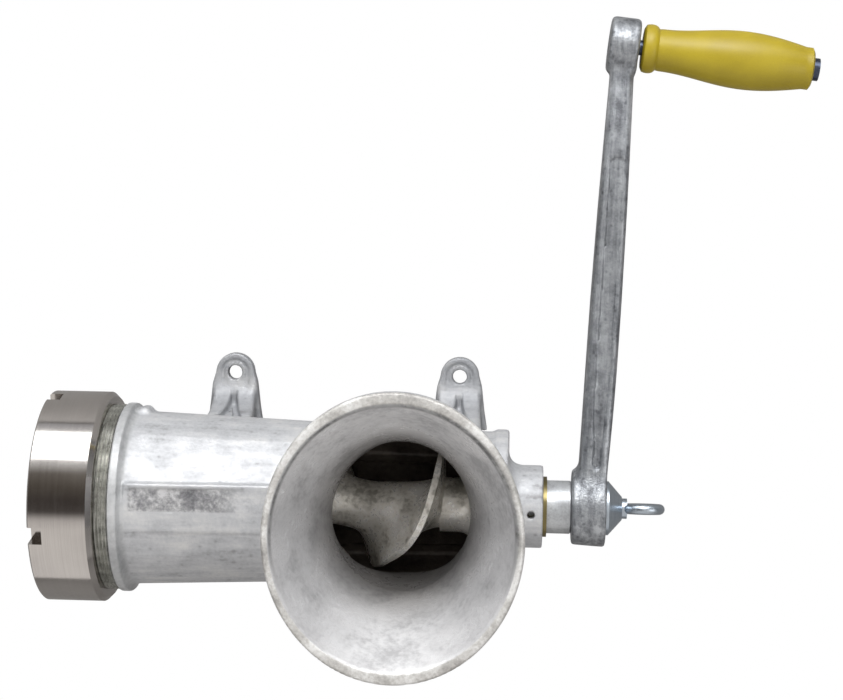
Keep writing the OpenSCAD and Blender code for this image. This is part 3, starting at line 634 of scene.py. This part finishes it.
def casting_zones_group():
    """Where a point lies on the casting, each 0 or 1 with a narrow step between.

    Inside is the hopper's inner wall, Lip its flat rim, Seam a line of painted shade where the two meet, on the
    crank-arm side, Cavity the barrel's inside, Band the sunk band on the panel, Joint the flange behind the ring nut,
    Oil the neck's oil hole, whose walls are painted black as shade, Foot the pads, darkened towards the floor as
    painted shade, Side the hopper's walls beside its brightest spot, darkened as painted shade so that the spot stays
    bright as a painted highlight. Climb runs from 0 at the throat to 1 at the rim.
    """
    outputs = ["Inside", "Lip", "Seam", "Cavity", "Band", "Joint", "Oil", "FloorShade", "Side", "Climb"]
    group, entry, leave = new_group("casting_zones", [], outputs)
    place = add(group, "ShaderNodeTexCoord").outputs["Object"]
    parts = add(group, "ShaderNodeSeparateXYZ")
    link(group, place, parts.inputs[0])
    x, y = parts.outputs["X"], parts.outputs["Y"]
    z = math_node(group, "SUBTRACT", parts.outputs["Z"], AXIS_H * MM)

    def length(a, b):
        squares = math_node(group, "ADD", math_node(group, "MULTIPLY", a, a), math_node(group, "MULTIPLY", b, b))
        return math_node(group, "SQRT", squares)

    def both(a, b):
        return math_node(group, "MULTIPLY", a, b)

    from_hopper = math_node(group, "SUBTRACT", x, HOPPER_X * MM)
    across = length(from_hopper, math_node(group, "DIVIDE", y, HOPPER_OVAL))
    climb = span(group, z, THROAT_H * MM, RIM_H * MM, 0.0, 1.0)
    swell = math_node(group, "POWER", climb, HOPPER_CURVE)
    inner = math_node(group, "ADD", math_node(group, "MULTIPLY", swell, (RIM_R - THROAT_R) * MM), THROAT_R * MM)
    gap = math_node(group, "SUBTRACT", across, inner)
    below_rim = span(group, z, 0.1131, 0.1135, 1.0, 0.0)
    above_axis = span(group, z, 0.010, 0.012, 0.0, 1.0)
    inside = both(span(group, gap, 0.0007, 0.0011, 1.0, 0.0), both(below_rim, above_axis))
    lip = both(span(group, z, 0.1118, 0.1124, 0.0, 1.0), math_node(group, "SUBTRACT", 1.0, inside))
    # painted shade: a dark line in the crease just under the lip, wider towards +X and kept to the crank-arm side
    narrow = span(group, from_hopper, -0.064, 0.064, 1.5, 0.55)
    lip_shade = both(span(group, both(math_node(group, "ABSOLUTE", gap), narrow), 0.0005, 0.0014, 1.0, 0.0), span(
        group, z, 0.1100, 0.1122, 0.0, 1.0))
    taper = math_node(group, "MULTIPLY", x, (CAVITY_REAR_R - CAVITY_R) / (REAR_WALL_X - SCROLL_FRONT_X))
    deep = math_node(group, "SUBTRACT", math_node(group, "SUBTRACT", length(y, z), taper), float(cavity_at(0.0)) * MM)
    cavity = both(span(group, deep, 0.0008, 0.0014, 1.0, 0.0), span(group, x, 0.0964, 0.0968, 1.0, 0.0))
    beside = math_node(group, "ABSOLUTE", math_node(group, "SUBTRACT", y, BAND_Y * MM))
    band = both(span(group, beside, 0.0058, 0.0068, 1.0, 0.0), span(group, x, -0.056, -0.040, 1.0, 0.12))
    band = both(band, both(span(group, x, -0.1055, -0.104, 0.0, 1.0), span(group, z, 0.040, 0.041, 0.0, 1.0)))
    joint = span(group, x, -0.1085, -0.1065, 1.0, 0.0)
    lip_shade = both(lip_shade, span(group, y, -0.030, 0.005, 0.0, 1.0))
    level = math_node(group, "SUBTRACT", y, math_node(group, "MULTIPLY", z, math.tan(OIL_TURN)))
    from_hole = length(math_node(group, "SUBTRACT", x, OIL_X * MM), level)
    oil = both(span(group, from_hole, 0.0019, 0.0022, 1.0, 0.0), span(group, z, 0.0172, 0.0176, 0.0, 1.0))
    foot = span(group, z, -0.112, -0.090, 1.0, 0.0)
    beside = math_node(group, "ABSOLUTE", from_hopper)
    # painted highlight: a spot low on the hopper's wall away from the crank arm is left bright, and the walls beside it
    # get painted shade, less on the crank-arm side
    spot = both(span(group, beside, 0.008, 0.044, 1.0, 0.0), span(group, y, -0.046, -0.020, 1.0, 0.0))
    side = both(math_node(group, "SUBTRACT", 1.0, spot), span(group, y, 0.005, 0.045, 1.0, 0.2))
    for label, socket in zip(outputs, (inside, lip, lip_shade, cavity, band, joint, oil, foot, side, climb)):
        link(group, socket, leave.inputs[label])
    return group


CAST_SKIN = cast_skin_group()
TURNED_LINES = turned_lines_group()


def new_material(name, metallic):
    """Material with its Principled shader, and the tree to build in."""
    material = bpy.data.materials.new(name)
    material.use_nodes = True
    tree = material.node_tree
    shader = tree.nodes["Principled BSDF"]
    shader.inputs["Metallic"].default_value = metallic
    return material, tree, shader


def colour_ramp(tree, fac, stops):
    """Colours between stops of (place, (r, g, b))."""
    made = tree.nodes.new("ShaderNodeValToRGB")
    ramp_stops = made.color_ramp.elements
    while len(ramp_stops) < len(stops):
        ramp_stops.new(0.5)
    for stop, (place, colour) in zip(ramp_stops, stops):
        stop.position = place
        stop.color = (*colour, 1.0)
    link(tree, fac, made.inputs["Fac"])
    return made.outputs["Color"]


def cast_material(name, stops, rough, metallic, fine, wide, bump):
    """Plated casting: its tone and its gloss both follow the skin, which also makes the bump."""
    material, tree, shader = new_material(name, metallic)
    skin = group_node(tree, CAST_SKIN, Fine=fine, Wide=wide)
    tone = math_node(tree, "SUBTRACT", skin["Tone"], math_node(tree, "MULTIPLY", skin["Pits"], 0.12))
    link(tree, colour_ramp(tree, tone, stops), shader.inputs["Base Color"])
    link(tree, span(tree, skin["Tone"], 0.35, 0.65, rough[1], rough[0]), shader.inputs["Roughness"])
    bumped(tree, shader, skin["Height"], bump, 0.0003)
    return material


def mixed(tree, fac, a, b, kind="RGBA", blend="MIX"):
    """a carried to b by fac. Each is a socket or a colour or a number."""
    made = add(tree, "ShaderNodeMix", data_type=kind, blend_type=blend)
    first, second = (6, 7) if kind == "RGBA" else (2, 3)
    for index, value in ((0, fac), (first, a), (second, b)):
        if isinstance(value, bpy.types.NodeSocket):
            link(tree, value, made.inputs[index])
        elif isinstance(value, tuple):
            made.inputs[index].default_value = (*value, 1.0)
        else:
            made.inputs[index].default_value = value
    return made.outputs[2 if kind == "RGBA" else 0]


def housing_material():
    """Tin over cast iron: a streaky barrel, a hopper darkened by painted shade towards its throat and on its sides, a
    rough lip with a line of painted shade under it, pads darkened by painted shade and a dark bore of bare iron
    deepened with painted shade.
    """
    material, tree, shader = new_material("cast_tin", 0.7)
    zone = group_node(tree, CASTING_ZONES)
    streaks = group_node(tree, DRAWN_STREAKS, Along_X=0.16)
    coarse = group_node(tree, CAST_SKIN, Fine=520.0, Wide=60.0)
    smooth = group_node(tree, CAST_SKIN, Fine=330.0, Wide=34.0)

    tone = math_node(tree, "ADD", math_node(tree, "MULTIPLY", coarse["Tone"], 0.55),
                     math_node(tree, "MULTIPLY", streaks["Fac"], 0.45))
    tone = math_node(tree, "SUBTRACT", tone, math_node(tree, "MULTIPLY", coarse["Pits"], 0.10))
    colour = colour_ramp(tree, tone, [
        (0.34, (0.31, 0.31, 0.32)), (0.42, (0.46, 0.47, 0.49)),
        (0.50, (0.54, 0.55, 0.57)), (0.64, (0.68, 0.68, 0.68))])
    mottle = colour_ramp(tree, coarse["Tone"], [
        (0.40, (0.10, 0.10, 0.11)), (0.5, (0.27, 0.27, 0.28)), (0.60, (0.62, 0.62, 0.63))])
    colour = mixed(tree, math_node(tree, "MULTIPLY", zone["Band"], 0.85), colour, mottle)
    ringed = colour_ramp(tree, smooth["Tone"], [(0.38, (0.36, 0.37, 0.38)), (0.6, (0.60, 0.61, 0.62))])
    colour = mixed(tree, math_node(tree, "MULTIPLY", zone["Joint"], 0.85), colour, ringed)
    # painted shade: the pads and the lowest part of the legs darkened towards the floor
    colour = mixed(tree, math_node(tree, "MULTIPLY", zone["FloorShade"], 0.42), colour, (0.16, 0.17, 0.19))
    wall = colour_ramp(tree, smooth["Tone"], [
        (0.36, (0.52, 0.52, 0.53)), (0.48, (0.78, 0.78, 0.79)), (0.60, (0.95, 0.95, 0.96))])
    # painted shade: the hopper's inner wall darkens towards its throat
    shade = colour_ramp(tree, zone["Climb"], [
        (0.0, (0.26, 0.25, 0.24)), (0.16, (0.50, 0.49, 0.48)),
        (0.5, (0.90, 0.90, 0.90)), (1.0, (1.0, 1.0, 1.0))])
    wall = mixed(tree, 1.0, wall, shade, blend="MULTIPLY")
    # painted shade on the hopper's walls beside its painted bright spot
    wall = mixed(tree, math_node(tree, "MULTIPLY", zone["Side"], 0.42), wall, (0.12, 0.12, 0.13))
    colour = mixed(tree, zone["Inside"], colour, wall)
    rim = colour_ramp(tree, coarse["Tone"], [
        (0.36, (0.34, 0.33, 0.32)), (0.5, (0.58, 0.57, 0.55)), (0.62, (0.84, 0.84, 0.83))])
    colour = mixed(tree, zone["Lip"], colour, rim)
    # painted shade line in the crease under the hopper's lip
    lip_shade = math_node(tree, "MULTIPLY", zone["Seam"], span(tree, smooth["Tone"], 0.42, 0.54, 0.45, 0.95))
    colour = mixed(tree, lip_shade, colour, (0.12, 0.12, 0.12))
    # bare dark iron inside the barrel, made darker still as painted shade
    bore = colour_ramp(tree, smooth["Tone"], [(0.35, (0.05, 0.042, 0.037)), (0.62, (0.15, 0.128, 0.11))])
    colour = mixed(tree, zone["Cavity"], colour, bore)
    # painted shade: the oil hole's walls are painted black
    colour = mixed(tree, zone["Oil"], colour, (0.004, 0.004, 0.004))
    link(tree, colour, shader.inputs["Base Color"])

    bare = math_node(tree, "MAXIMUM", zone["Inside"], math_node(tree, "MULTIPLY", zone["Cavity"], 0.6))
    link(tree, mixed(tree, bare, 0.26, 0.06, "FLOAT"), shader.inputs["Metallic"])
    gloss = span(tree, coarse["Tone"], 0.38, 0.62, 0.54, 0.36)
    gloss = mixed(tree, zone["Inside"], gloss, span(tree, smooth["Tone"], 0.4, 0.6, 0.42, 0.24), "FLOAT")
    link(tree, gloss, shader.inputs["Roughness"])
    calm = math_node(tree, "MAXIMUM", zone["Inside"], zone["Joint"])
    fainter = math_node(tree, "MULTIPLY", smooth["Height"], 0.7)
    height = mixed(tree, calm, coarse["Height"], fainter, "FLOAT")
    bumped(tree, shader, height, 0.55, 0.0005)
    return material


def turned_material(name, stops, rough, lines, bump, anisotropic=0.0):
    """Metal turned on a lathe."""
    material, tree, shader = new_material(name, 1.0)
    shader.inputs["Anisotropic"].default_value = anisotropic
    turned = group_node(tree, TURNED_LINES, Lines=lines)
    link(tree, colour_ramp(tree, turned["Tone"], stops), shader.inputs["Base Color"])
    link(tree, span(tree, turned["Tone"], 0.3, 0.7, rough[0], rough[1]), shader.inputs["Roughness"])
    bumped(tree, shader, turned["Height"], bump, 0.0001)
    return material


def crank_material():
    """Tin over cast iron, with streaks along the arm and painted light and shade that lighten and darken it along its
    length.
    """
    material, tree, shader = new_material("crank_tin", 0.6)
    skin = group_node(tree, CAST_SKIN, Fine=700.0, Wide=150.0)
    streaks = group_node(tree, DRAWN_STREAKS, Scale=260.0, Along_Y=0.08)
    tone = math_node(tree, "ADD", math_node(tree, "MULTIPLY", skin["Tone"], 0.5),
                     math_node(tree, "MULTIPLY", streaks["Fac"], 0.5))
    tone = math_node(tree, "SUBTRACT", tone, math_node(tree, "MULTIPLY", skin["Pits"], 0.12))
    stops = [(0.36, (0.18, 0.19, 0.21)), (0.48, (0.39, 0.41, 0.44)), (0.62, (0.69, 0.72, 0.76))]
    # painted light and shade: the arm is lightest near its top and darker at the hub, in its middle and at its head
    place = add(tree, "ShaderNodeSeparateXYZ")
    link(tree, add(tree, "ShaderNodeTexCoord").outputs["Object"], place.inputs[0])
    along = math_node(tree, "DIVIDE", place.outputs["Y"], 0.27)
    painted_light_along_arm = colour_ramp(tree, along, [(share, (level, level, level)) for share, level in (
        (0.0, 0.75), (0.30, 0.62), (0.63, 0.56), (0.78, 0.84), (0.88, 1.0), (0.93, 0.60))])
    colour = mixed(tree, 1.0, colour_ramp(tree, tone, stops), painted_light_along_arm, blend="MULTIPLY")
    link(tree, colour, shader.inputs["Base Color"])
    link(tree, span(tree, tone, 0.38, 0.6, 0.48, 0.32), shader.inputs["Roughness"])
    bumped(tree, shader, skin["Height"], 0.7, 0.0004)
    return material


def grip_material():
    """Satin moulded plastic: an even yellow with faint clouds, a fine grain and a scuffed gloss."""
    material, tree, shader = new_material("grip_yellow", 0.0)
    shader.inputs["Coat Weight"].default_value = 0.12
    shader.inputs["Coat Roughness"].default_value = 0.35
    skin = group_node(tree, CAST_SKIN, Fine=1400.0, Wide=45.0)
    stops = [(0.35, (0.335, 0.250, 0.005)), (0.65, (0.43, 0.330, 0.009))]
    link(tree, colour_ramp(tree, skin["Tone"], stops), shader.inputs["Base Color"])
    link(tree, span(tree, skin["Tone"], 0.35, 0.65, 0.38, 0.5), shader.inputs["Roughness"])
    bumped(tree, shader, skin["Height"], 0.1, 0.0001)
    return material


CASTING_ZONES = casting_zones_group()
DRAWN_STREAKS = drawn_streaks_group()
cast_tin = housing_material()
thread_tin = cast_material(
    "thread_tin", [(0.3, (0.18, 0.18, 0.16)), (0.5, (0.42, 0.42, 0.39)), (0.7, (0.66, 0.66, 0.62))],
    (0.35, 0.5), 0.8, 1100.0, 160.0, 0.4)
crank_tin = crank_material()
scroll_iron = cast_material(
    "scroll_iron", [(0.36, (0.46, 0.44, 0.39)), (0.48, (0.88, 0.85, 0.78)), (0.58, (1.0, 0.98, 0.94))],
    (0.22, 0.38), 0.35, 420.0, 70.0, 0.8)
ring_steel = turned_material(
    "ring_steel", [(0.3, (0.56, 0.53, 0.51)), (0.7, (0.70, 0.67, 0.64))], (0.09, 0.15), 2600.0, 0.10,
    anisotropic=0.3)
plate_steel = turned_material(
    "plate_steel", [(0.3, (0.42, 0.41, 0.40)), (0.7, (0.58, 0.57, 0.56))], (0.22, 0.34), 1800.0, 0.2)
shaft_steel = cast_material(
    "shaft_steel", [(0.34, (0.40, 0.41, 0.43)), (0.5, (0.55, 0.57, 0.59)), (0.66, (0.68, 0.70, 0.72))],
    (0.30, 0.42), 0.6, 900.0, 110.0, 0.25)
blade_steel = turned_material(
    "blade_steel", [(0.3, (0.50, 0.51, 0.53)), (0.7, (0.68, 0.69, 0.71))], (0.22, 0.34), 1200.0, 0.2)
bush_brass = turned_material(
    "bush_brass", [(0.3, (0.17, 0.14, 0.06)), (0.7, (0.30, 0.25, 0.12))], (0.3, 0.42), 1800.0, 0.2)
zinc_plate = turned_material(
    "zinc_plate", [(0.3, (0.40, 0.46, 0.53)), (0.7, (0.60, 0.66, 0.72))], (0.26, 0.4), 1400.0, 0.2)
bolt_blue = turned_material(
    "bolt_blue", [(0.3, (0.05, 0.06, 0.09)), (0.7, (0.12, 0.14, 0.19))], (0.25, 0.38), 1200.0, 0.15)
fibre_red = cast_material(
    "fibre_red", [(0.3, (0.25, 0.11, 0.07)), (0.7, (0.36, 0.18, 0.12))], (0.55, 0.7), 0.0, 900.0, 120.0, 0.3)
grip_yellow = grip_material()


def build_housing():
    """The casting, with its mouth's thread as a second piece."""
    step = 1.4
    points, faces, normals = surface_net(casting, (FLANGE_X, -76.5, -AXIS_H), (NECK_END_X, 76.5, RIM_H), step)
    points, faces = thin_out(points, faces, 0.56)
    _, slope = field_slope(casting, points)
    normals = slope / np.maximum(np.linalg.norm(slope, axis=1, keepdims=True), 1e-9)
    piece = make_piece("housing_casting", points, faces, "housing", cast_tin, normals)
    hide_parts("housing")
    stations = np.arange(MOUTH_X + 0.9, FLANGE_X - 0.2, 0.33)
    turn = np.linspace(0, 2 * np.pi, 160, endpoint=False)
    deep = 1.1
    rows = [(MOUTH_X, PLATE_SEAT_R), (MOUTH_X, THREAD_R - 1.8)]
    for x in stations:
        phase = (x / 2.0 - turn / (2 * np.pi)) % 1.0
        rows.append((x, THREAD_R - deep * np.clip(2.6 * np.abs(phase - 0.5) - 0.15, 0.0, 1.0)))
    rows += [(FLANGE_X, THREAD_R - deep), (FLANGE_X, CAVITY_R - 0.3), (SCROLL_FRONT_X, CAVITY_R)]
    rows += [(SCROLL_FRONT_X, PLATE_REST_R), (PLATE_REAR_X, PLATE_REST_R), (PLATE_REAR_X, PLATE_SEAT_R)]
    points, faces = lathe(rows, 160)
    make_piece("housing_thread", points, faces, "housing", thread_tin, sharp_deg=50)


def build_scroll():
    """The flight on its core, and the shaft with its collar, square end and screw hole."""
    points, faces = flight_surface()
    flight = make_piece("scroll_flight", points, faces, "drive", scroll_iron, sharp_deg=40)
    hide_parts("scroll")
    turn = np.linspace(0, 2 * np.pi, 128, endpoint=False)
    square = np.minimum(9.98 / np.maximum(np.abs(np.sin(turn)), np.abs(np.cos(turn))), 13.4)
    cast_end = 93.5
    rows = [
        (66.0, 9.0), (66.0, CORE_R), (76.0, CORE_R), (79.0, 16.0), (82.0, 17.2), (84.5, 19.2), (86.3, 22.0),
        (87.2, 25.0), (87.9, 26.0), (93.0, 26.0), (cast_end, 25.4), (cast_end, SHAFT_R),
        (SHAFT_END_X - 0.8, SHAFT_R), (SHAFT_END_X - 0.05, 14.4), (SHAFT_END_X, np.minimum(square, 14.2)),
        (157.9, square), (158.3, square - 0.5), (158.3, 5.1), (126.3, 5.1), (126.3, 9.0),
    ]
    points, faces = lathe(rows, 128)
    shaft = make_piece("scroll_shaft", points, faces, "drive", shaft_steel, sharp_deg=40)
    shaft.data.materials.append(scroll_iron)
    cast = [int(points[face][:, 0].max() < cast_end + 0.1) for face in faces]
    shaft.data.polygons.foreach_set("material_index", cast)


def build_crank():
    """Crank and its grip, which is bored for the bolt that it spins on."""
    points, faces, normals = surface_net(crank_arm, (SHAFT_END_X, -HUB_R, -HUB_R), (174.5, 277.7, HUB_R), 1.2)
    crank = make_piece("crank_arm", points, faces, "drive", crank_tin, normals)
    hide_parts("crank")

    length, start = 95.0, 10.35
    share = np.linspace(0, 1, 90)
    waist, widest = 0.105, 0.6
    swell = 11.7 + 4.4 * (1 - np.cos(np.pi * np.clip((share - waist) / (widest - waist), 0, 1))) / 2
    fall = 10.7 + 5.4 * np.cos(np.pi / 2 * np.clip((share - widest) / (1 - widest), 0, 1))
    r = np.where(share < widest, swell, fall)
    bead = np.clip(1 - ((share - 0.0425) / 0.0425) ** 2, 0, 1)
    r = np.maximum(r, 11.7 + 1.9 * np.sqrt(bead))
    r = r - 0.35 * np.exp(-((share - 0.094) / 0.007) ** 2)
    rows = [(start, 4.3), (start, 10.9)]
    rows += [(start + length * s, v) for s, v in zip(share, r) if 0.004 < s < 0.994]
    rows += [(start + length, 9.9), (start + length, 4.3)]
    points, faces = lathe(rows, 96)
    grip = make_piece("grip_body", at_head(points), faces, "grip", grip_yellow, sharp_deg=40)
    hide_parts("grip")


build_housing()
build_scroll()
build_crank()

FINISHES = {
    "neck_bush": bush_brass,
    "plate_key": blade_steel,
    "hole_plate": plate_steel,
    "ring_nut": ring_steel,
    "scroll_stud": blade_steel,
    "knife": blade_steel,
    "thrust_washer": fibre_red,
    "cone_washer": zinc_plate,
    "eye_screw": zinc_plate,
    "grip_bolt": bolt_blue,
}
for name, finish in FINISHES.items():
    for place in nodes[name].material_slots:
        place.material = finish


def build_stage():
    """Pale floor under the feet, which the camera sees as plain white."""
    mesh = bpy.data.meshes.new("floor")
    half = 3.0
    mesh.from_pydata([(-half, -half, 0), (half, -half, 0), (half, half, 0), (-half, half, 0)], [], [(0, 1, 2, 3)])
    floor = bpy.data.objects.new("floor", mesh)
    bpy.context.scene.collection.objects.link(floor)
    material = bpy.data.materials.new("floor_white")
    material.use_nodes = True
    tree = material.node_tree
    shader = tree.nodes["Principled BSDF"]
    shader.inputs["Base Color"].default_value = (0.27, 0.265, 0.26, 1.0)
    shader.inputs["Roughness"].default_value = 0.9
    white = add(tree, "ShaderNodeEmission", Color=(1.0, 1.0, 1.0, 1.0), Strength=1.0)
    path = add(tree, "ShaderNodeLightPath")
    mix = add(tree, "ShaderNodeMixShader")
    link(tree, path.outputs["Is Camera Ray"], mix.inputs[0])
    link(tree, shader.outputs[0], mix.inputs[1])
    link(tree, white.outputs[0], mix.inputs[2])
    link(tree, mix.outputs[0], tree.nodes["Material Output"].inputs["Surface"])
    mesh.materials.append(material)


def build_world():
    """Soft room: a bright window low on the crank arm's side, a dim ceiling beside it and pale walls elsewhere."""
    world = bpy.data.worlds.new("room")
    bpy.context.scene.world = world
    world.use_nodes = True
    tree = world.node_tree
    room = tree.nodes["Background"]
    place = add(tree, "ShaderNodeTexCoord").outputs["Generated"]
    parts = add(tree, "ShaderNodeSeparateXYZ")
    link(tree, place, parts.inputs[0])
    angle = math_node(tree, "ARCTAN2", parts.outputs["Y"], parts.outputs["Z"])
    share = math_node(tree, "ADD", math_node(tree, "DIVIDE", angle, 2 * math.pi), 0.5)
    stops = [
        (0.25, (0.90, 0.87, 0.85)), (0.42, (0.90, 0.87, 0.84)), (0.448, (0.72, 0.69, 0.67)),
        (0.472, (0.08, 0.07, 0.065)), (0.51, (0.06, 0.05, 0.045)), (0.55, (0.11, 0.095, 0.08)),
        (0.59, (0.20, 0.18, 0.16)), (0.63, (0.95, 0.95, 0.95)), (0.72, (1.0, 1.0, 1.0)), (0.75, (0.55, 0.55, 0.57)),
    ]
    sideways = math_node(tree, "ABSOLUTE", parts.outputs["X"])
    ring = mixed(tree, span(tree, sideways, 0.35, 0.95, 0.0, 0.75), colour_ramp(tree, share, stops), (0.10, 0.10, 0.10))
    above = math_node(tree, "ABSOLUTE", math_node(tree, "SUBTRACT", share, 0.53))
    above = math_node(tree, "MULTIPLY", span(tree, above, 0.05, 0.08, 1.0, 0.0), span(
        tree, parts.outputs["X"], -0.13, -0.05, 0.0, 1.0))
    above = math_node(tree, "MULTIPLY", above, span(tree, sideways, 0.15, 0.35, 1.0, 0.0))
    ring = mixed(tree, above, ring, (1.30, 1.28, 1.24))
    link(tree, ring, room.inputs["Color"])
    room.inputs["Strength"].default_value = 0.8
    white = add(tree, "ShaderNodeBackground", Color=(1.0, 1.0, 1.0, 1.0), Strength=1.0)
    path = add(tree, "ShaderNodeLightPath")
    mix = add(tree, "ShaderNodeMixShader")
    link(tree, path.outputs["Is Camera Ray"], mix.inputs[0])
    link(tree, room.outputs[0], mix.inputs[1])
    link(tree, white.outputs[0], mix.inputs[2])
    link(tree, mix.outputs[0], tree.nodes["World Output"].inputs["Surface"])


def soft_light(name, place, aim, size, power, colour=(1.0, 1.0, 1.0)):
    """Square area light at a place in metres, turned to shine at another."""
    data = bpy.data.lights.new(name, "AREA")
    data.shape = "RECTANGLE"
    data.size, data.size_y = size
    data.energy = power
    data.color = colour
    lamp = bpy.data.objects.new(name, data)
    bpy.context.scene.collection.objects.link(lamp)
    lamp.location = place
    away = Matrix.Identity(3)
    away.col[2] = (np.array(place) - np.array(aim)) / np.linalg.norm(np.array(place) - np.array(aim))
    side = np.cross((0.0, 1.0, 0.01), away.col[2])
    away.col[0] = side / np.linalg.norm(side)
    away.col[1] = np.cross(away.col[2], away.col[0])
    lamp.rotation_euler = away.to_euler()


def build_camera():
    """Camera at the photograph's viewing angle."""
    data = bpy.data.cameras.new("camera")
    data.sensor_fit = "HORIZONTAL"
    data.sensor_width = SENSOR_MM
    data.lens = FOCAL_PX * SENSOR_MM / FRAME_PX
    data.clip_end = 50.0
    camera = bpy.data.objects.new("camera", data)
    bpy.context.scene.collection.objects.link(camera)
    right = (0.99840, 0.01599, -0.05427)
    up = (-0.02049, 0.99632, -0.08328)
    back = (0.05274, 0.08426, 0.99505)
    turn = Matrix((right, up, back)).transposed().to_4x4()
    camera.matrix_world = Matrix.Translation((0.10781, 0.17532, 1.14829)) @ turn
    bpy.context.scene.camera = camera


build_stage()
build_world()
build_camera()
soft_light("window", (-0.1, 1.43, 0.88), (0.0, 0.0, 0.1), (2.2, 0.95), 17.0)
soft_light("high_window", (0.05, 1.15, 1.10), (0.05, 0.0, 0.15), (0.8, 0.5), 8.0)
soft_light("left", (-1.3, -0.2, 1.5), (0.05, 0.0, 0.1), (1.0, 1.2), 7.0, (1.0, 0.99, 0.98))
soft_light("right", (1.4, -0.1, 1.4), (0.05, 0.0, 0.1), (1.0, 1.2), 7.0, (1.0, 0.99, 0.98))

bpy.context.scene.view_settings.view_transform = "Standard"
